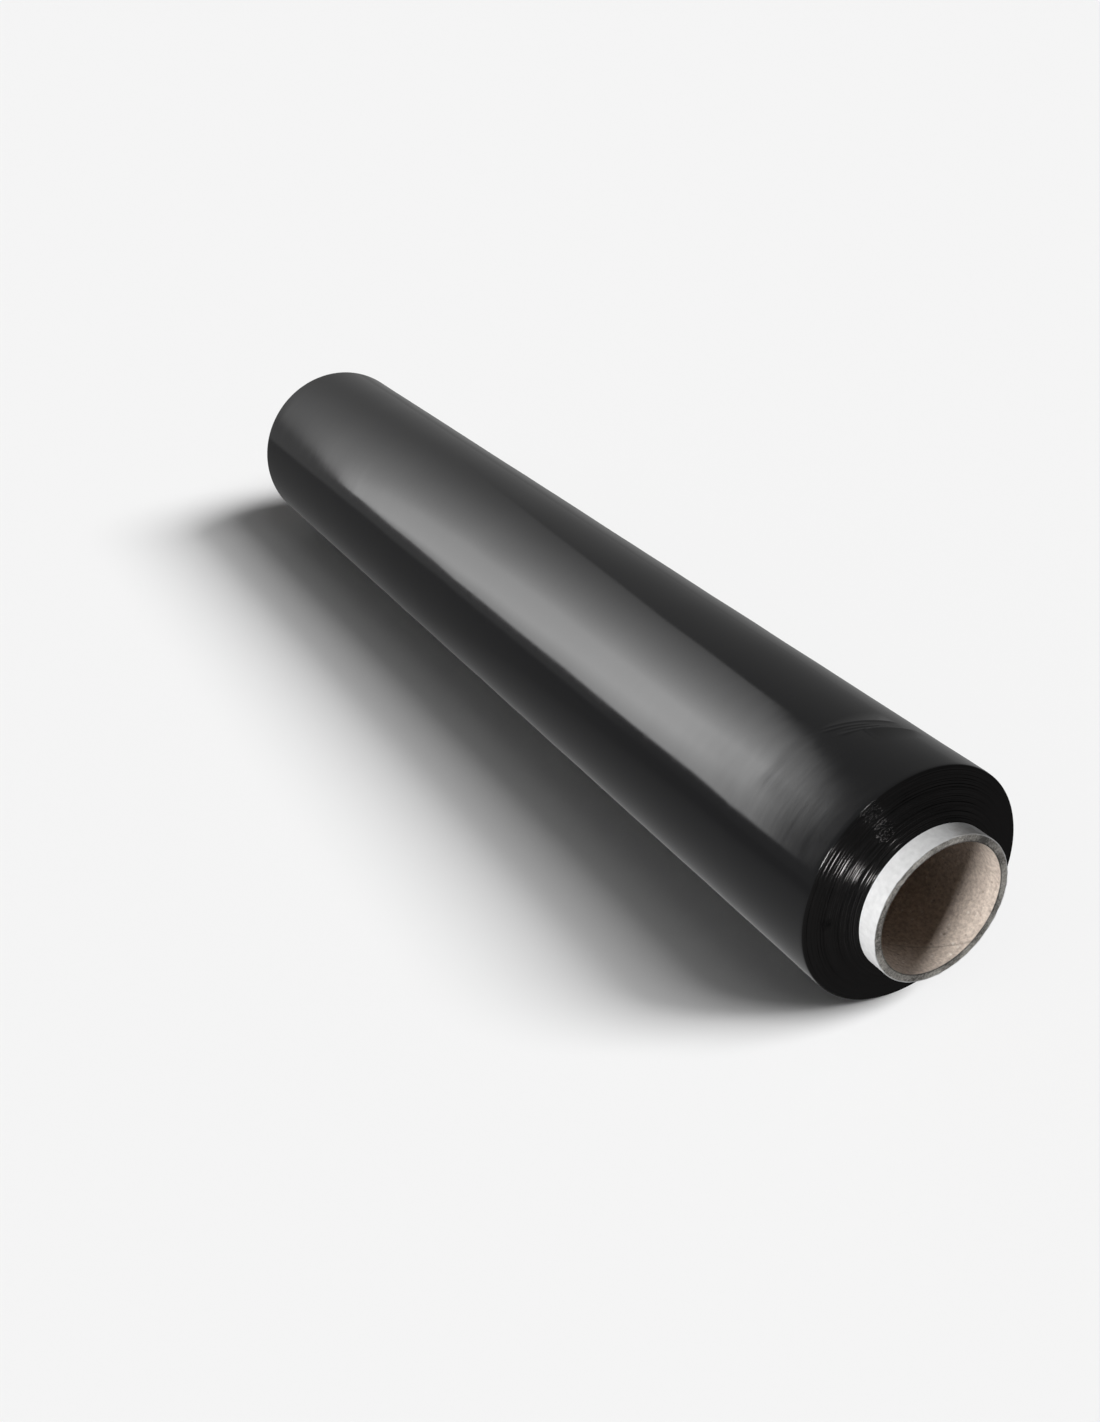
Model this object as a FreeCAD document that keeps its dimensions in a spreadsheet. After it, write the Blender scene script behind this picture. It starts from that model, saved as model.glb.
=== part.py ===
import FreeCAD, Part
import Sketcher
import math
import os

# A hand roll of black stretch wrap, lying on its side. The film is wound on a spiral wound
# paperboard core that has a white outer ply. The roll's axis runs along X, the floor is at Z 0,
# and the origin is in the middle of the flat spot that the roll rests on.

SIZES = {
    # the film as wound
    "film_width": 500.0,        # rim to rim, over the outermost turn
    "roll_diameter": 90.0,
    "end_rise": 7.5,            # the innermost turns are squeezed out this far past the rim
    "web_wander": 0.3,          # how far the web strays sideways as it winds
    "flat_depth": 0.4,          # how far the turns give where the roll lies
    # the core
    "core_bore": 50.0,
    "core_wall": 3.0,           # grey board and white ply together
    "ply_thickness": 0.35,      # the white outer ply
    "core_stickout": 7.5,       # the core beyond the innermost turns, at each end
    "mouth_chamfer": 0.4,       # the knife leaves the bore's edge broken by this much
}
BANDS = 20                      # groups of turns whose edges can be told apart on an end face
CUT_MARGIN = 5.0                # how far a cutting sketch reaches past what it cuts

AXIS_HEIGHT = "Sizes.roll_diameter / 2 - Sizes.flat_depth"
CORE_RADIUS = "(Sizes.core_bore / 2 + Sizes.core_wall)"
BOARD_RADIUS = "(Sizes.core_bore / 2 + Sizes.core_wall - Sizes.ply_thickness)"
HALF_CORE = "(Sizes.film_width / 2 + Sizes.end_rise + Sizes.core_stickout)"

doc = FreeCAD.newDocument("stretch_wrap_roll")
sheet = doc.addObject("Spreadsheet::Sheet", "Sizes")
for row, (alias, size) in enumerate(SIZES.items(), start=1):
    sheet.set(f"A{row}", alias)
    sheet.set(f"B{row}", str(size))
    sheet.setAlias(f"B{row}", alias)
doc.recompute()


def new_body(label):
    """A body whose own X axis is the roll's, lifted so that the roll stands on the floor."""
    body = doc.addObject("PartDesign::Body", label)
    body.Label = label
    body.setExpression("Placement.Base.z", AXIS_HEIGHT)
    return body


def new_sketch(body, name):
    """An empty sketch on the body's own upright plane through the roll's axis."""
    sketch = body.newObject("Sketcher::SketchObject", name)
    plane = next(f for f in body.Origin.OriginFeatures if f.Role == "XZ_Plane")
    sketch.AttachmentSupport = [(plane, "")]
    sketch.MapMode = "FlatFace"
    return sketch


def bind(sketch, kind, corner, value, name, formula):
    """Ties a corner's distance from the sketch's origin to the sheet."""
    index = sketch.addConstraint(Sketcher.Constraint(kind, -1, 1, corner, 1, value))
    sketch.renameConstraint(index, name)
    sketch.setExpression(f"Constraints.{name}", formula)


def closed_outline(sketch, corners):
    """A closed outline of straight lines. corners: (name, formula along the axis, formula up)."""
    points = []
    for _, along, up in corners:
        x, y = (sheet.evalExpression(formula.replace("Sizes.", "")) for formula in (along, up))
        points.append(FreeCAD.Vector(float(x), float(y), 0))
    count = len(points)
    for i in range(count):
        sketch.addGeometry(Part.LineSegment(points[i], points[(i + 1) % count]))
    for i in range(count):
        sketch.addConstraint(Sketcher.Constraint("Coincident", i, 2, (i + 1) % count, 1))
    for i, (name, along, up) in enumerate(corners):
        bind(sketch, "DistanceX", i, points[i].x, f"{name}_along", along)
        bind(sketch, "DistanceY", i, points[i].y, f"{name}_up", up)


def rectangle(low_x, high_x, low_y, high_y):
    """Corners of a rectangle for closed_outline."""
    return [("a", low_x, low_y), ("b", high_x, low_y), ("c", high_x, high_y), ("d", low_x, high_y)]


def revolve(body, sketch, name):
    """One full turn about the roll's axis, which is the sketch's own horizontal."""
    turned = body.newObject("PartDesign::Revolution", name)
    turned.Profile = sketch
    turned.ReferenceAxis = (sketch, ["H_Axis"])
    turned.Angle = 360
    doc.recompute()
    return turned


# Film. The pull of the outer turns squeezes the inner ones out sideways, so each end face is a
# low cone. The web also strays a little as it winds: a group of turns whose edges stand proud at
# one end is sunk by as much at the other, which leaves each face in fine concentric steps.


def stray(band):
    """Where the web ran while it wound this band, from -1 to 1. It keeps its place at the rim."""
    wave = 0.6 * math.sin(2.4 * band + 0.7) + 0.4 * math.sin(5.3 * band)
    return wave * min(1.0, (BANDS - 1 - band) / 3)


def turn_radius(share):
    """Radius of the turn at a share of the way out from the core to the rim."""
    return f"{CORE_RADIUS} + (Sizes.roll_diameter / 2 - {CORE_RADIUS}) * {share:.5f}"


def edge_place(side, band, share):
    """Where that turn's edge lies along the axis; side is 1 at the near end, -1 at the far end."""
    squeezed_out = f"{side} * (Sizes.film_width / 2 + Sizes.end_rise * {1 - share:.5f})"
    return f"{squeezed_out} + Sizes.web_wander * {stray(band):.5f}"


def stepped_face(side, word):
    """Corners of the wound film at one end, from the core out to the rim."""
    corners = []
    for band in range(BANDS):
        for place, share in (("in", band / BANDS), ("out", (band + 1) / BANDS)):
            name = f"{word}_{band}_{place}"
            corners.append((name, edge_place(side, band, share), turn_radius(share)))
    return corners


film = new_body("film_roll")
wound_section = new_sketch(film, "wound_section")
closed_outline(wound_section, stepped_face(1, "near") + stepped_face(-1, "far")[::-1])
revolve(film, wound_section, "wound_turns")

# The flat spot that keeps the roll where it lies.
flat_section = new_sketch(film, "flat_section")
closed_outline(flat_section, rectangle(
    f"-Sizes.film_width / 2 - Sizes.end_rise - {CUT_MARGIN}",
    f"Sizes.film_width / 2 + Sizes.end_rise + {CUT_MARGIN}",
    f"-Sizes.roll_diameter / 2 - {CUT_MARGIN}",
    "-Sizes.roll_diameter / 2 + Sizes.flat_depth",
))
flat_spot = film.newObject("PartDesign::Pocket", "flat_spot")
flat_spot.Profile = flat_section
flat_spot.Midplane = True
flat_spot.setExpression("Length", "Sizes.roll_diameter")

# Core: grey board plies, glued as they spiral round a mandrel and cut to length with a knife.
board = new_body("core_tube")
board_section = new_sketch(board, "board_section")
closed_outline(board_section, [
    ("far_mouth", f"-{HALF_CORE}", "Sizes.core_bore / 2 + Sizes.mouth_chamfer"),
    ("far_bore", f"-{HALF_CORE} + Sizes.mouth_chamfer", "Sizes.core_bore / 2"),
    ("near_bore", f"{HALF_CORE} - Sizes.mouth_chamfer", "Sizes.core_bore / 2"),
    ("near_mouth", HALF_CORE, "Sizes.core_bore / 2 + Sizes.mouth_chamfer"),
    ("near_outside", HALF_CORE, BOARD_RADIUS),
    ("far_outside", f"-{HALF_CORE}", BOARD_RADIUS),
])
revolve(board, board_section, "board_plies")

# White outer ply: the last strip of paper on the core, which shows where the core stands out.
ply = new_body("core_white_ply")
ply_section = new_sketch(ply, "ply_section")
closed_outline(ply_section, rectangle(f"-{HALF_CORE}", HALF_CORE, BOARD_RADIUS, CORE_RADIUS))
revolve(ply, ply_section, "white_ply")

doc.recompute()
for item in doc.Objects:
    if {"Invalid", "Error"} & set(item.State):
        raise RuntimeError(f"{item.Label} failed: {item.State}")

os.makedirs("parts", exist_ok=True)
for body in (film, board, ply):
    shape = body.Shape
    if shape.isNull() or not shape.isValid() or len(shape.Solids) != 1:
        raise RuntimeError(f"{body.Label} isn't one valid solid")
    shape.exportStep(f"parts/{body.Label}.step")
    print(f"{body.Label}: {shape.Volume:.0f} mm3, {len(shape.Faces)} faces")
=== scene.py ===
import math
import random
import bpy
from mathutils import Matrix, Vector


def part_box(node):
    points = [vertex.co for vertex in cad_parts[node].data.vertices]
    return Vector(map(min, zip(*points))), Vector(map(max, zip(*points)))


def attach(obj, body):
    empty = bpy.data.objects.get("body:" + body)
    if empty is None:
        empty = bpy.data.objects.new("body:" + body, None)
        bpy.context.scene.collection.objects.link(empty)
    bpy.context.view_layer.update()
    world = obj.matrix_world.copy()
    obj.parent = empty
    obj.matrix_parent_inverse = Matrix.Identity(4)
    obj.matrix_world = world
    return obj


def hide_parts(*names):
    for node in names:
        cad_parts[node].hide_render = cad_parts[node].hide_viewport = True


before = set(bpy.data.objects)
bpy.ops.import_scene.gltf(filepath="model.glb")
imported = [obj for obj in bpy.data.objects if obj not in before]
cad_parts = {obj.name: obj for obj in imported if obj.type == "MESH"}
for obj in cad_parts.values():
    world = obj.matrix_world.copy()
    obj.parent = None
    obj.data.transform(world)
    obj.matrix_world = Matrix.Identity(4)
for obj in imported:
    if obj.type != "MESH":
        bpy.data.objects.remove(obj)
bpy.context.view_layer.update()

# Film roll. Black cling film, 17 micron thick, wound tight on the core. The pull of the outer
# turns squeezes the inner ones out, so each end is a low cone of turn edges, and the edges stand
# in fine uneven steps because the web strayed as it was wound.
board_low, board_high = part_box("core_tube")
ply_low, ply_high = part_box("core_white_ply")
film_low, film_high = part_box("film_roll")
AXIS_Z = (board_low.z + board_high.z) / 2
ROLL_RADIUS = film_high.z - AXIS_Z
CORE_RADIUS = (ply_high.z - ply_low.z) / 2
FILM_HALF = 0.25                 # centre to rim
END_RISE = 0.0075                # rim to innermost turns
RIM_ROUND = 0.0003               # the last turns roll over by this much
EDGES_FROM = FILM_HALF - 0.6 * RIM_ROUND     # beyond this, turn edges show instead of the face
FILM_FACETS = 192                # round the roll
NARROW_STEP, WIDE_STEP = 0.00018, 0.0008     # groups of turns that stand out from the others
WEB_STRAY = 0.00012              # how far one group may stray from the one under it
# one group's edge, as shares of its width inwards and of its rise: a steep rounded outer side,
# which is what glints, and a nearly flat top
SHOULDER = ((0.12, 0.55), (0.30, 0.92), (0.65, 1.03), (1.0, 0.97))
# wrinkles at the top of the near end, where the last turns were pulled a little skew: each is
# its place along the roll, its slant, and the angles that it starts and ends at
WRINKLES = ((0.2124, -0.29, 64, 95), (0.2144, -0.33, 77, 97),
            (0.2163, -0.30, 70, 90), (0.2183, -0.24, 58, 92))
WRINKLE_HALF_WIDTH = 0.0004
ON_WRINKLE = 0.00003             # a vertex this close to a wrinkle's middle is on it
WRINKLE_SWELL = 1.0022           # a ridge of 0.1 mm
HAIR = 1e-6                      # a vertex this close to a cutting plane counts as on it


def new_tube(name, radius, half_length, facets):
    """An open tube round the roll's axis, in edit mode."""
    bpy.ops.object.select_all(action="DESELECT")
    bpy.ops.mesh.primitive_cylinder_add(
        vertices=facets, radius=radius, depth=2 * half_length, end_fill_type="NOTHING",
        location=(0, 0, AXIS_Z), rotation=(0, math.pi / 2, 0),
    )
    tube = bpy.context.object
    tube.name = name
    bpy.ops.object.transform_apply(location=True, rotation=True, scale=True)
    bpy.ops.object.mode_set(mode="EDIT")
    return tube


def cut_ring(place, slant=0.0):
    """Cuts a ring of edges round the tube, at a place along it."""
    bpy.ops.mesh.select_all(action="SELECT")
    bpy.ops.mesh.bisect(plane_co=(place, 0, AXIS_Z), plane_no=(1, slant, 0), threshold=HAIR)


def select_where(piece, chosen):
    """Selects the piece's vertices by their place."""
    bpy.context.tool_settings.mesh_select_mode = (True, False, False)
    bpy.ops.mesh.select_all(action="DESELECT")
    bpy.ops.object.mode_set(mode="OBJECT")
    for vertex in piece.data.vertices:
        vertex.select = chosen(vertex.co)
    bpy.ops.object.mode_set(mode="EDIT")


def carry_ring(side, outline):
    """Extrudes the selected end ring through an outline of (distance from the middle, radius)."""
    for (far, wide), (next_far, next_wide) in zip(outline, outline[1:]):
        bpy.ops.mesh.extrude_region_move(
            TRANSFORM_OT_translate={"value": (side * (next_far - far), 0, 0)}
        )
        bpy.ops.transform.resize(
            value=(1, next_wide / wide, next_wide / wide),
            center_override=(side * next_far, 0, AXIS_Z),
        )


def unsettle(piece, name, grain, strength, chosen, direction="NORMAL"):
    """Moves the chosen vertices in and out by a noise of that grain."""
    clouds = bpy.data.textures.new(name, type="CLOUDS")
    clouds.noise_scale = grain
    group = piece.vertex_groups.new(name=name)
    group.add([v.index for v in piece.data.vertices if chosen(v.co)], 1, "REPLACE")
    moved = piece.modifiers.new(name, "DISPLACE")
    moved.texture = clouds
    moved.direction = direction
    moved.vertex_group = group.name
    moved.strength = strength
    bpy.ops.object.modifier_apply(modifier=moved.name)


def wound_end(draw):
    """Outline of one wound end from the body over the rim to the core."""
    outline = [
        (FILM_HALF - 2 * RIM_ROUND, ROLL_RADIUS),
        (FILM_HALF - RIM_ROUND, ROLL_RADIUS - 0.12 * RIM_ROUND),
        (FILM_HALF - 0.35 * RIM_ROUND, ROLL_RADIUS - 0.5 * RIM_ROUND),
        (FILM_HALF, ROLL_RADIUS - 1.2 * RIM_ROUND),
    ]
    stray = 0.0
    while outline[-1][1] > CORE_RADIUS:
        foot, outer = outline[-1]
        width = NARROW_STEP + (WIDE_STEP - NARROW_STEP) * draw.random() ** 2
        inner = max(outer - width, CORE_RADIUS)
        stray = 0.6 * stray + draw.uniform(-WEB_STRAY, WEB_STRAY)
        share = (ROLL_RADIUS - inner) / (ROLL_RADIUS - CORE_RADIUS)
        crest = FILM_HALF + END_RISE * share + stray
        blunt = draw.uniform(0.8, 1.8)       # no two edges are rounded alike
        for inward, rise in SHOULDER:
            inward = inward ** (1 / blunt)
            outline.append((foot + (crest - foot) * rise, outer + (inner - outer) * inward))
    return outline


film = new_tube("film_turns", ROLL_RADIUS, FILM_HALF - 2 * RIM_ROUND, FILM_FACETS)
# rings along the body: one each centimetre, and one beside each rim to keep its shading off them
for place in [0.01 * n for n in range(-24, 25)] + [-FILM_HALF + 0.002, FILM_HALF - 0.002]:
    cut_ring(place)
for place, slant, start, end in WRINKLES:
    for beside in (-WRINKLE_HALF_WIDTH, 0, WRINKLE_HALF_WIDTH):
        cut_ring(place + beside, slant)
    select_where(film, lambda co: abs(co.x - place + slant * co.y) < ON_WRINKLE
                 and start < math.degrees(math.atan2(co.z - AXIS_Z, co.y)) < end)
    bpy.ops.transform.resize(value=(1, WRINKLE_SWELL, WRINKLE_SWELL),
                             center_override=(0, 0, AXIS_Z))
bpy.ops.object.mode_set(mode="OBJECT")
# the film's thickness varies, so the body is nowhere quite round: 0.15 mm over a few centimetres
unsettle(film, "lumps", 0.03, 0.0003, lambda co: abs(co.x) < FILM_HALF - 0.001)
bpy.ops.object.mode_set(mode="EDIT")
winding = random.Random(17)
for side in (1, -1):
    select_where(film, lambda co: co.x * side > FILM_HALF - 3 * RIM_ROUND)
    carry_ring(side, wound_end(winding))
select_where(film, lambda co: math.hypot(co.y, co.z - AXIS_Z) < CORE_RADIUS + HAIR)
bpy.ops.mesh.select_mode(type="EDGE")
bpy.ops.mesh.bridge_edge_loops()
# the flat spot that the roll lies on
bpy.ops.mesh.select_all(action="SELECT")
bpy.ops.mesh.bisect(plane_co=(0, 0, 0), plane_no=(0, 0, 1), use_fill=True, clear_inner=True,
                    threshold=HAIR)
bpy.ops.mesh.select_all(action="SELECT")
bpy.ops.mesh.normals_make_consistent(inside=False)
bpy.ops.object.mode_set(mode="OBJECT")
# going round, the edges stray in and out together
unsettle(film, "wander", 0.01, 0.00005, lambda co: abs(co.x) > EDGES_FROM, direction="X")
bpy.ops.object.shade_smooth_by_angle(angle=math.radians(52))


def linear(colour):
    """An sRGB hex colour as linear light."""
    parts = [int(colour[i:i + 2], 16) / 255 for i in (1, 3, 5)]
    return (*[c / 12.92 if c <= 0.04045 else ((c + 0.055) / 1.055) ** 2.4 for c in parts], 1)


def new_material(name):
    """A material with only its output and a Principled shader."""
    material = bpy.data.materials.new(name)
    material.use_nodes = True
    return material, material.node_tree, material.node_tree.nodes["Principled BSDF"]


def add(tree, kind, inputs=None, **settings):
    """Adds a node, sets it up, and fills or links its inputs."""
    made = tree.nodes.new(kind)
    for name, value in settings.items():
        setattr(made, name, value)
    for socket, value in (inputs or {}).items():
        if isinstance(value, bpy.types.NodeSocket):
            tree.links.new(value, made.inputs[socket])
        else:
            made.inputs[socket].default_value = value
    return made


def calc(tree, operation, *values):
    """The result of a sum on one to three values."""
    return add(tree, "ShaderNodeMath", dict(enumerate(values)), operation=operation).outputs[0]


def ramp(tree, value, start, end, low=0.0, high=1.0, ease="LINEAR"):
    """The value carried from the range start to end over to low to high, and held outside it."""
    return add(tree, "ShaderNodeMapRange", {0: value, 1: start, 2: end, 3: low, 4: high},
               interpolation_type=ease).outputs[0]


def blend(tree, share, under, over):
    """Two colours mixed; the share is the second one's."""
    return add(tree, "ShaderNodeMix", {"Factor": share, 6: under, 7: over},
               data_type="RGBA").outputs[2]


def around_axis(tree):
    """Place along the roll's axis, distance from it in metres, and angle about it in radians."""
    spot = add(tree, "ShaderNodeTexCoord").outputs["Object"]
    parts = add(tree, "ShaderNodeSeparateXYZ", {0: spot})
    across, height = parts.outputs["Y"], calc(tree, "SUBTRACT", parts.outputs["Z"], AXIS_Z)
    flat = add(tree, "ShaderNodeCombineXYZ", {"Y": across, "Z": height}).outputs[0]
    radius = add(tree, "ShaderNodeVectorMath", {0: flat}, operation="LENGTH").outputs["Value"]
    angle = calc(tree, "ARCTAN2", height, across)
    return spot, parts.outputs["X"], radius, angle


def distance_from(tree, spot, place):
    """How far a point of the surface is from a fixed place, in metres."""
    return add(tree, "ShaderNodeVectorMath", {0: spot, 1: place},
               operation="DISTANCE").outputs["Value"]


# Black cling film, LLDPE blown and wound under tension. The eye sees a deep black with a
# soft-edged gloss that wavers a little where the film's gauge varies along the roll.
cling, tree, shader = new_material("black_cling_film")
shader.inputs["Base Color"].default_value = linear("#0d0d0e")
shader.inputs["IOR"].default_value = 1.51
spot, along = around_axis(tree)[:2]
gauge = add(tree, "ShaderNodeTexNoise", {"W": along, "Scale": 1 / 0.014, "Detail": 3.0},
            noise_dimensions="1D")
stretched = add(tree, "ShaderNodeMapping", {"Vector": spot, "Scale": (1.0, 0.35, 0.35)})
cling_marks = add(tree, "ShaderNodeTexNoise",
                  {"Vector": stretched.outputs[0], "Scale": 1 / 0.005, "Detail": 4.0})
tree.links.new(ramp(tree, cling_marks.outputs["Fac"], 0.3, 0.7, 0.095, 0.13),
               shader.inputs["Roughness"])
bands = add(tree, "ShaderNodeBump",
            {"Height": gauge.outputs["Fac"], "Distance": 0.00002, "Strength": 1.0})
skin = add(tree, "ShaderNodeBump", {"Height": cling_marks.outputs["Fac"], "Distance": 0.00001,
                                    "Normal": bands.outputs[0]})
tree.links.new(skin.outputs[0], shader.inputs["Normal"])
film.data.materials.append(cling)

# Wound film edges: the slit edges of hundreds of turns, pressed together. The eye sees a black
# deeper than the film's face, with fine rings that glint where a lamp meets their outer sides.
# Turn by turn they are 17 micron apart, too fine to show, so the mesh has them in groups of 0.2
# to 0.8 mm, and the bump carries finer streaks.
RUFFLES = ((0.2508, -0.0172, 0.0397, 0.0045), (0.2542, -0.0142, 0.0324, 0.0045),
           (0.2530, -0.0378, 0.0060, 0.0028))      # place along, across, above axis; reach


def streaks(tree, spot, radius, length, squeeze):
    """Noise that follows the turns: its grain is that long, and that many times finer across."""
    parts = add(tree, "ShaderNodeSeparateXYZ", {0: spot})
    round_axis = add(tree, "ShaderNodeCombineXYZ", {
        "X": calc(tree, "MULTIPLY", radius, squeeze),
        "Y": parts.outputs["Y"], "Z": parts.outputs["Z"],
    })
    return add(tree, "ShaderNodeTexNoise", {"Vector": round_axis.outputs[0],
                                            "Scale": 1 / length, "Detail": 1.0}).outputs["Fac"]


edges, tree, shader = new_material("wound_film_edges")
tree.nodes.remove(shader)
spot, _, radius, _ = around_axis(tree)
# the edges stray in and out as they go round: 0.2 mm across the turns, 12 mm along them
ringed = add(tree, "ShaderNodeBump",
             {"Height": streaks(tree, spot, radius, 0.012, 60.0), "Distance": 0.00008})
# ruffled places, where the edges stand up from one another
nearest = 1.0
for place, across, height, reach in RUFFLES:
    apart = distance_from(tree, spot, (place, across, AXIS_Z + height))
    nearest = calc(tree, "MINIMUM", calc(tree, "DIVIDE", apart, reach), nearest)
ringed = add(tree, "ShaderNodeBump", {
    "Height": streaks(tree, spot, radius, 0.0018, 11.0), "Distance": 0.0007,
    "Strength": ramp(tree, nearest, 1.0, 0.4), "Normal": ringed.outputs[0],
})
# the slits between the turns swallow much of the light, at a grazing angle too: three fifths of
# the film's face-on reflectance (IOR 1.51) is left at every angle
ink = add(tree, "ShaderNodeBsdfDiffuse", {"Color": linear("#050505"), "Normal": ringed.outputs[0]})
glint = add(tree, "ShaderNodeBsdfAnisotropic",
            {"Color": linear("#2b2a2a"), "Roughness": 0.16, "Normal": ringed.outputs[0]})
edge_look = add(tree, "ShaderNodeAddShader", {0: ink.outputs[0], 1: glint.outputs[0]})
tree.links.new(edge_look.outputs[0], tree.nodes["Material Output"].inputs["Surface"])
film.data.materials.append(edges)
for face in film.data.polygons:
    face.material_index = 1 if abs(face.center.x) > EDGES_FROM else 0
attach(film, "root")
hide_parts("film_roll")

# Core tube. Grey recycled board in six plies, glued as they spiral round a mandrel and cut to
# length with a knife, which leaves the plies' edges showing at each end.
CORE_HALF = board_high.x
BORE_RADIUS = 0.025
BOARD_RADIUS = (board_high.z - board_low.z) / 2
CORE_FACETS = 160
PLIES = 6
PLY_WIDTH = (BOARD_RADIUS - BORE_RADIUS) / PLIES
# one ply's cut edge, a low ridge: how far it is sunk below the cut, at shares of its width
PLY_EDGE = ((0.00002, 0.15), (0.0, 0.5), (0.00003, 0.85), (0.00012, 0.99))
CUT_ZONE = 0.0015                # the part of each end that the knife shaped
TORN_ZONE = 0.0004               # the part of it that the knife tore


def close_tube():
    """Bridges the tube's two open rings through its inside, and turns its normals outwards."""
    bpy.ops.mesh.select_mode(type="EDGE")
    bpy.ops.mesh.select_all(action="DESELECT")
    bpy.ops.mesh.select_non_manifold()
    bpy.ops.mesh.bridge_edge_loops()
    bpy.ops.mesh.select_all(action="SELECT")
    bpy.ops.mesh.normals_make_consistent(inside=False)
    bpy.ops.object.mode_set(mode="OBJECT")


core = new_tube("core_board", BOARD_RADIUS, CORE_HALF - CUT_ZONE, CORE_FACETS)
cut_end = [(CORE_HALF - CUT_ZONE, BOARD_RADIUS), (CORE_HALF - 0.0002, BOARD_RADIUS)]
for number in range(PLIES):
    for sunk, share in PLY_EDGE:
        cut_end.append((CORE_HALF - sunk, BOARD_RADIUS - (number + share) * PLY_WIDTH))
cut_end += [(CORE_HALF - 0.0005, BORE_RADIUS), (CORE_HALF - CUT_ZONE, BORE_RADIUS)]
for side in (1, -1):
    select_where(core, lambda co: co.x * side > CORE_HALF - CUT_ZONE - 0.0001)
    carry_ring(side, cut_end)
close_tube()
unsettle(core, "torn_cut", 0.0025, 0.0003, lambda co: abs(co.x) > CORE_HALF - TORN_ZONE,
         direction="X")
bpy.ops.object.shade_smooth_by_angle(angle=math.radians(40))

# Recycled chipboard. The eye sees a matt beige grey with pale and dark flecks of fibre, and on
# the knife cut a darker, rougher grey with the plies as fine rings.
SEAM_LEAD = 0.1315               # the innermost strip's seam gains this in a turn, at 40 degrees
SEAM_START = 1.0175              # its angle at the near cut, in radians down from +Y
board, tree, shader = new_material("recycled_core_board")
shader.inputs["Roughness"].default_value = 0.9
shader.inputs["IOR"].default_value = 1.5
spot, along, radius, angle = around_axis(tree)
fibres = add(tree, "ShaderNodeTexNoise",
             {"Vector": spot, "Scale": 1 / 0.0013, "Detail": 3.0, "Roughness": 0.6})
fibre_colour = blend(tree, ramp(tree, fibres.outputs["Fac"], 0.34, 0.68),
                     linear("#b0a297"), linear("#d8cabd"))
specks = add(tree, "ShaderNodeTexVoronoi", {"Vector": spot, "Scale": 1 / 0.003})
speck_shade = add(tree, "ShaderNodeSeparateColor", {0: specks.outputs["Color"]}).outputs["Red"]
speck_colour = blend(tree, calc(tree, "GREATER_THAN", speck_shade, 0.45),
                     linear("#564b43"), linear("#f2ece4"))
flecked = blend(tree, ramp(tree, specks.outputs["Distance"], 0.12, 0.20, 0.4, 0.0),
                fibre_colour, speck_colour)
turn_gain = 2 * math.pi / SEAM_LEAD
gained = calc(tree, "MULTIPLY_ADD", along, -turn_gain, CORE_HALF * turn_gain + SEAM_START)
off_seam = calc(tree, "WRAP", calc(tree, "ADD", angle, gained), math.pi, -math.pi)
seam = ramp(tree, calc(tree, "ABSOLUTE", off_seam), 0.005, 0.035, 0.28, 0.0)
inside_colour = blend(tree, seam, flecked, linear("#3a342f"))
plies = add(tree, "ShaderNodeTexNoise",
            {"Vector": spot, "Scale": 1 / 0.0009, "Detail": 3.0, "Roughness": 0.7})
blotch = add(tree, "ShaderNodeTexNoise", {"Vector": spot, "Scale": 1 / 0.012, "Detail": 1.0})
patchy = calc(tree, "ADD", blotch.outputs["Fac"], plies.outputs["Fac"])
cut_colour = blend(tree, ramp(tree, patchy, 0.78, 1.28), linear("#5c5955"), linear("#d6d2cb"))
# the cut is darker in a thin ring next to the bore
darker_by_bore = ramp(tree, radius, BORE_RADIUS + 0.00015, BORE_RADIUS + 0.0006, 0.75, 0.0)
cut_colour = blend(tree, darker_by_bore, cut_colour, linear("#2c2a28"))
knifed = ramp(tree, calc(tree, "ABSOLUTE", along), CORE_HALF - TORN_ZONE, CORE_HALF - 0.0001)
tree.links.new(blend(tree, knifed, inside_colour, cut_colour), shader.inputs["Base Color"])
tooth = add(tree, "ShaderNodeBump", {"Height": fibres.outputs["Fac"], "Distance": 0.00035})
tree.links.new(tooth.outputs[0], shader.inputs["Normal"])
core.data.materials.append(board)
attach(core, "root")
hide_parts("core_tube")

# White outer ply. A strip of bleached paper glued over the board as the core's last ply, seen
# where the core stands out of the film. Its cut edge is a little ragged.
white_ply = new_tube("core_white_paper", CORE_RADIUS, CORE_HALF - 0.0008, CORE_FACETS)
for side in (1, -1):
    select_where(white_ply, lambda co: co.x * side > CORE_HALF - 0.001)
    carry_ring(side, [
        (CORE_HALF - 0.0008, CORE_RADIUS),
        (CORE_HALF - 0.0001, CORE_RADIUS),
        (CORE_HALF - 0.00002, CORE_RADIUS - 0.00008),
        (CORE_HALF, BOARD_RADIUS),
    ])
close_tube()
unsettle(white_ply, "torn_cut", 0.0025, 0.0005, lambda co: abs(co.x) > CORE_HALF - TORN_ZONE,
         direction="X")
bpy.ops.object.shade_smooth_by_angle(angle=math.radians(40))

# Bleached kraft paper. The eye sees a matt, faintly mottled white.
white, tree, shader = new_material("bleached_kraft_paper")
shader.inputs["Roughness"].default_value = 0.75
shader.inputs["IOR"].default_value = 1.5
spot = add(tree, "ShaderNodeTexCoord").outputs["Object"]
mottle = add(tree, "ShaderNodeTexNoise",
             {"Vector": spot, "Scale": 1 / 0.002, "Detail": 5.0}).outputs["Fac"]
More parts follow.
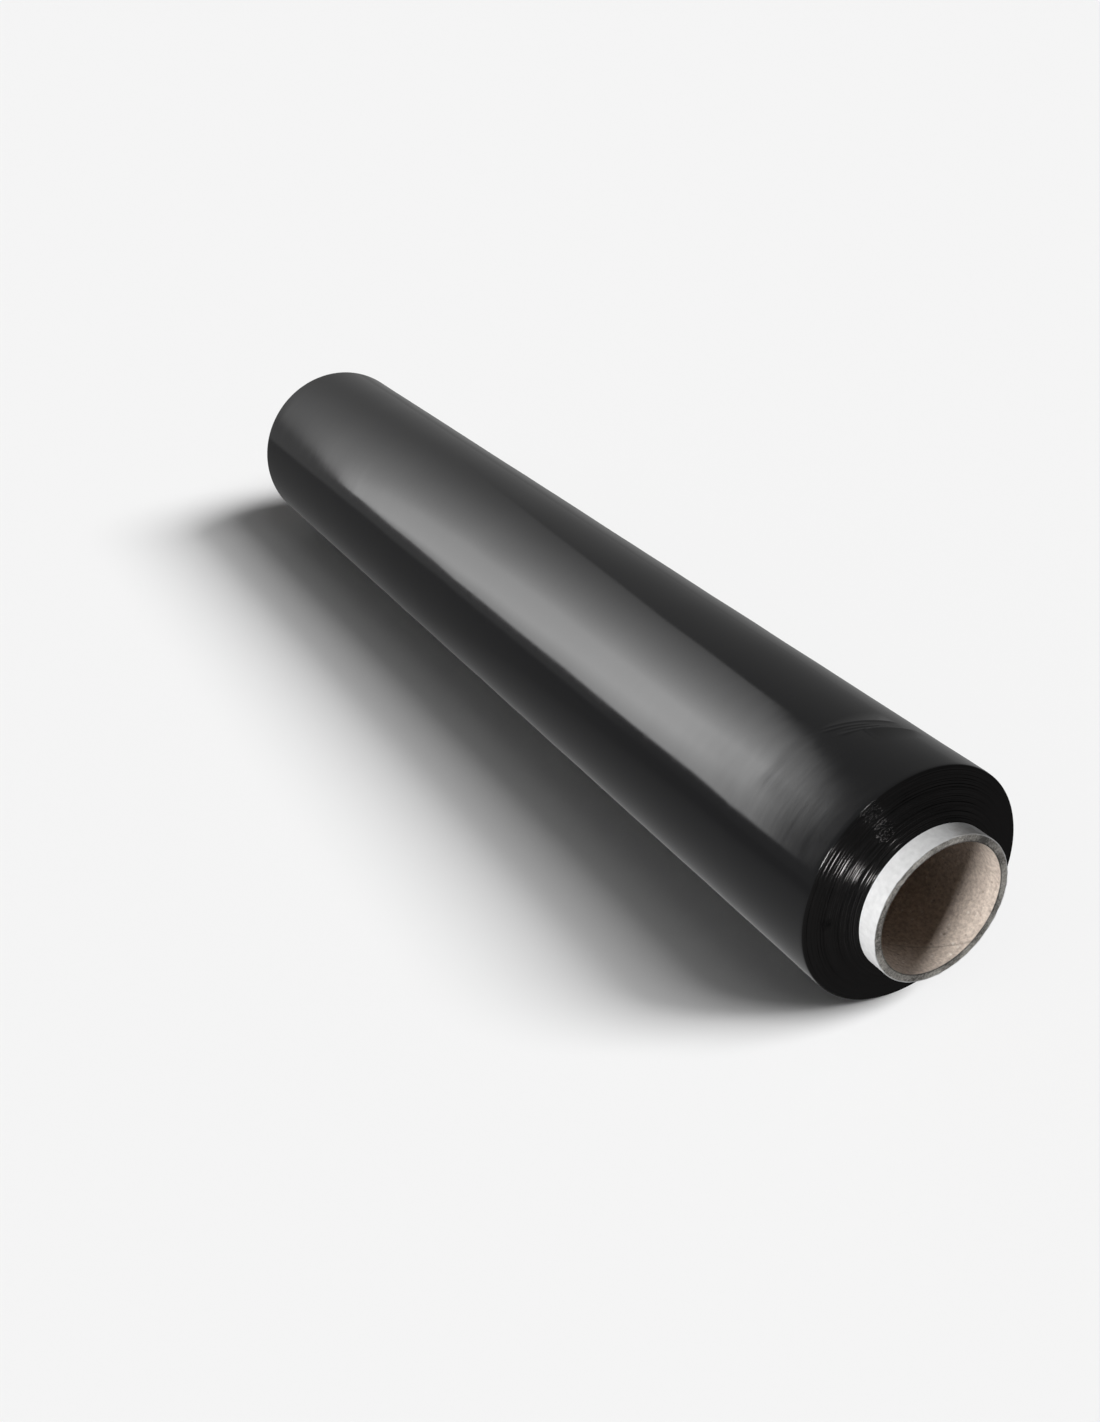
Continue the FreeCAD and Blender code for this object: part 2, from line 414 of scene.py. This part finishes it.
# a scuffed place at the top of the near end, where the white has rubbed off
from_scuff = distance_from(tree, spot, (CORE_HALF, 0.012, AXIS_Z + 0.0255))
rubbed = calc(tree, "ADD", ramp(tree, from_scuff, 0.003, 0.012, 0.35, -0.25), mottle)
worn = blend(tree, ramp(tree, rubbed, 0.55, 0.85, 0.0, 0.45),
             blend(tree, mottle, linear("#bfbfbf"), linear("#e4e4e4")), linear("#8b857e"))
tree.links.new(worn, shader.inputs["Base Color"])
tooth = add(tree, "ShaderNodeBump", {"Height": mottle, "Distance": 0.00008})
tree.links.new(tooth.outputs[0], shader.inputs["Normal"])
white_ply.data.materials.append(white)
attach(white_ply, "root")
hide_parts("core_white_ply")

# Floor. A pale seamless sweep. The camera sees it white with the roll's soft shadow. Every other
# ray sees a painted glow of the
# mid grey that it was in the studio: a painted reflection, with painted shadow in front of the
# roll and towards the far end.
bpy.ops.object.select_all(action="DESELECT")
bpy.ops.mesh.primitive_plane_add(size=16)
floor = bpy.context.object
floor.name = "floor"
sweep, tree, shader = new_material("pale_sweep")
tree.nodes.remove(shader)
lit = add(tree, "ShaderNodeBsdfDiffuse", {"Color": (0.85, 0.85, 0.85, 1)})
place = add(tree, "ShaderNodeNewGeometry").outputs["Position"]
where = add(tree, "ShaderNodeSeparateXYZ", {0: place})
# painted shade in the floor's glow: darker in front of the roll and towards the far end, standing
# in for the roll's shadow in the film's reflection
painted_floor_shade = add(tree, "ShaderNodeMix", {
    "Factor": ramp(tree, where.outputs["Y"], 0.0, 0.2),
    2: ramp(tree, where.outputs["X"], -0.1, 0.25, 0.15, 0.33),      # in front of the roll
    3: ramp(tree, where.outputs["X"], -1.0, -0.4, 0.24, 0.3),       # behind it
}, data_type="FLOAT")
painted_floor_glow = add(tree, "ShaderNodeEmission",
                {"Color": (1, 1, 1, 1), "Strength": painted_floor_shade.outputs[0]})
rays = add(tree, "ShaderNodeLightPath")
pick = add(tree, "ShaderNodeMixShader",
           {0: rays.outputs["Is Camera Ray"], 1: painted_floor_glow.outputs[0], 2: lit.outputs[0]})
tree.links.new(pick.outputs[0], tree.nodes["Material Output"].inputs["Surface"])
floor.data.materials.append(sweep)

# World. Pale to the camera, a grey studio in the film's gloss, and little fill in the shadow.
WORLD_SEEN, WORLD_IN_GLOSS, WORLD_FILL = 0.92, 0.20, 0.012
world = bpy.data.worlds.new("studio")
bpy.context.scene.world = world
world.use_nodes = True
tree = world.node_tree
rays = add(tree, "ShaderNodeLightPath")
fill = add(tree, "ShaderNodeMix",
           {"Factor": rays.outputs["Is Glossy Ray"], 2: WORLD_FILL, 3: WORLD_IN_GLOSS},
           data_type="FLOAT")
strength = add(tree, "ShaderNodeMix",
               {"Factor": rays.outputs["Is Camera Ray"], 2: fill.outputs[0], 3: WORLD_SEEN},
               data_type="FLOAT")
tree.links.new(strength.outputs[0], tree.nodes["Background"].inputs["Strength"])
tree.nodes["Background"].inputs["Color"].default_value = (1, 1, 1, 1)


def only_lights(lamp, pieces):
    """Limits a lamp to some pieces."""
    group = bpy.data.collections.new("lit_by_" + lamp.name)
    for piece in pieces:
        group.objects.link(piece)
    lamp.light_linking.receiver_collection = group


def aim(lamp, place, target):
    """Puts a lamp at a place, facing a target."""
    lamp.location = place
    lamp.rotation_euler = (Vector(target) - Vector(place)).to_track_quat("-Z", "Y").to_euler()


def new_panel(name, width, height, energy):
    """Adds an area lamp."""
    bpy.ops.object.light_add(type="AREA")
    panel = bpy.context.object
    panel.name = name
    panel.data.shape = "RECTANGLE"
    panel.data.size = width
    panel.data.size_y = height
    panel.data.energy = energy
    return panel


# Floor light: a tall strip on the far right, drawn as three suns one above the other, and a weak
# sky. The roll's shadow falls softly towards the camera and to the far end's side.
FLOOR_LIGHT = 3.33               # brings the floor to the photo's white
for name, towards, share, width in (
        ("floor_low", Vector((0.9, 0.9325, 1)), 0.565, 22),
        ("floor_mid", Vector((0.9, 0.4663, 1)), 0.30, 22),
        ("floor_high", Vector((0.9, 0.0699, 1)), 0.07, 24),
        ("floor_sky", Vector((0, 0, 1)), 0.065, 170)):
    bpy.ops.object.light_add(type="SUN")
    floor_sun = bpy.context.object
    floor_sun.name = name
    floor_sun.data.energy = FLOOR_LIGHT * share * towards.length
    floor_sun.data.angle = math.radians(width)
    aim(floor_sun, towards, (0, 0, 0))
    only_lights(floor_sun, [floor])

# Front lamp: a small softbox low on the near side. It lights the white paper and the bore's
# mouth, and glints on the outer sides of the turn edges.
near_end = Vector((0.26, 0, AXIS_Z))
front = new_panel("front_lamp", 0.25, 0.25, 12.2)
aim(front, near_end + Vector((0.20, -0.86, 0.49)), near_end)
only_lights(front, [film, core, white_ply])

# Overhead lamp: a small one high above the near end, which the ruffled edges glint with.
overhead = new_panel("overhead_lamp", 0.12, 0.12, 2.0)
aim(overhead, near_end + Vector((0.19, -0.19, 0.96)), near_end)
only_lights(overhead, [film])

# Back fill: a weak panel on the far right, which keeps the white paper's top from going dark.
back = new_panel("back_fill", 0.4, 0.4, 1.3)
aim(back, near_end + Vector((0.3, 0.8, 0.5)), near_end)
only_lights(back, [core, white_ply])


def standing_panel(name, azimuth, distance, left, right, top):
    """Stands an area lamp on the floor, facing the roll from an azimuth in degrees. Gives it, its
    nodes, and in them a point's place sideways and upwards on it, in metres."""
    azimuth = math.radians(azimuth)
    outward = Vector((math.cos(azimuth), math.sin(azimuth), 0))
    side = Vector((-math.sin(azimuth), math.cos(azimuth), 0))
    # an energy of pi watts a square metre makes the radiance equal to the emission's strength
    panel = new_panel(name, right - left, top, math.pi * (right - left) * top)
    panel.location = outward * distance + side * ((left + right) / 2) + Vector((0, 0, top / 2))
    panel.rotation_euler = (-outward).to_track_quat("-Z", "Y").to_euler()
    panel.data.use_nodes = True
    nodes = panel.data.node_tree
    place = add(nodes, "ShaderNodeNewGeometry").outputs["Position"]
    sideways = add(nodes, "ShaderNodeVectorMath", {0: place, 1: side}, operation="DOT_PRODUCT")
    upwards = add(nodes, "ShaderNodeSeparateXYZ", {0: place})
    return panel, nodes, sideways.outputs["Value"], upwards.outputs["Z"]


# Far wall glow: the left of the studio is paler than its right, and the film's top shows it.
GLOW_LEVEL = 0.105
wall_glow, tree, sideways, up = standing_panel("wall_glow", 165, 2.5, -4.0, 4.0, 4.0)
level = calc(tree, "MULTIPLY", ramp(tree, sideways, -3.6, -0.5, 0.0, GLOW_LEVEL),
             ramp(tree, up, 1.8, 3.9, 1.0, 0.0))
tree.links.new(level, tree.nodes["Emission"].inputs["Strength"])
only_lights(wall_glow, [film, core, white_ply])

# Side softbox: tall, behind the roll's left. Its straight lower edge draws the sharp edge of the
# gloss along the body, and its light fades upwards and to the far end.
BOX_LEFT, BOX_RIGHT, BOX_TOP = -1.3, 0.52, 1.75
softbox, tree, sideways, up = standing_panel("side_softbox", -147, 0.8, BOX_LEFT, BOX_RIGHT,
                                             BOX_TOP)
# a fan of light from a point near its foot, none at 165 degrees and full at 74
rise, run = calc(tree, "SUBTRACT", up, 0.15), calc(tree, "ADD", sideways, 0.10)
fan_angle = calc(tree, "WRAP", calc(tree, "ARCTAN2", rise, run), 2 * math.pi, 0.0)
fan = calc(tree, "POWER", ramp(tree, fan_angle, math.radians(165), math.radians(74)), 2.1)
fan = calc(tree, "MULTIPLY", fan, 5.5)
# held down on its left, by the distance from a point under its lower left corner
from_corner = add(tree, "ShaderNodeCombineXYZ", {"X": calc(tree, "SUBTRACT", sideways, BOX_LEFT),
                                                 "Y": calc(tree, "ADD", up, 0.15)})
reach = add(tree, "ShaderNodeVectorMath", {0: from_corner.outputs[0]},
            operation="LENGTH").outputs["Value"]
level = calc(tree, "MINIMUM", fan, ramp(tree, reach, 1.15, 1.62, 1.6, 5.6))
lower_edge = ramp(tree, calc(tree, "MULTIPLY_ADD", sideways, -0.165, up), 0.13, 0.155)
right_edge = ramp(tree, reach, 1.82, 1.69, ease="SMOOTHSTEP")
near_edge = ramp(tree, fan_angle, math.radians(15), math.radians(45), 0.7, 1.0)
for edge in (lower_edge, right_edge, near_edge):
    level = calc(tree, "MULTIPLY", level, edge)
tree.links.new(level, tree.nodes["Emission"].inputs["Strength"])
only_lights(softbox, [film, core, white_ply])

# Camera, where the photograph was taken from.
bpy.ops.object.camera_add()
camera = bpy.context.object
camera.location = (0.54641, -0.25443, 0.37794)
camera.rotation_euler = (
    Matrix.Rotation(math.radians(65.595), 3, "Z")
    @ Matrix.Rotation(math.radians(90 - 32.925), 3, "X")
    @ Matrix.Rotation(math.radians(-8.998), 3, "Z")
).to_euler()
camera.data.sensor_width = 36
camera.data.lens = 37.88
camera.data.clip_start = 0.01
bpy.context.scene.camera = camera
bpy.context.scene.view_settings.view_transform = "Standard"
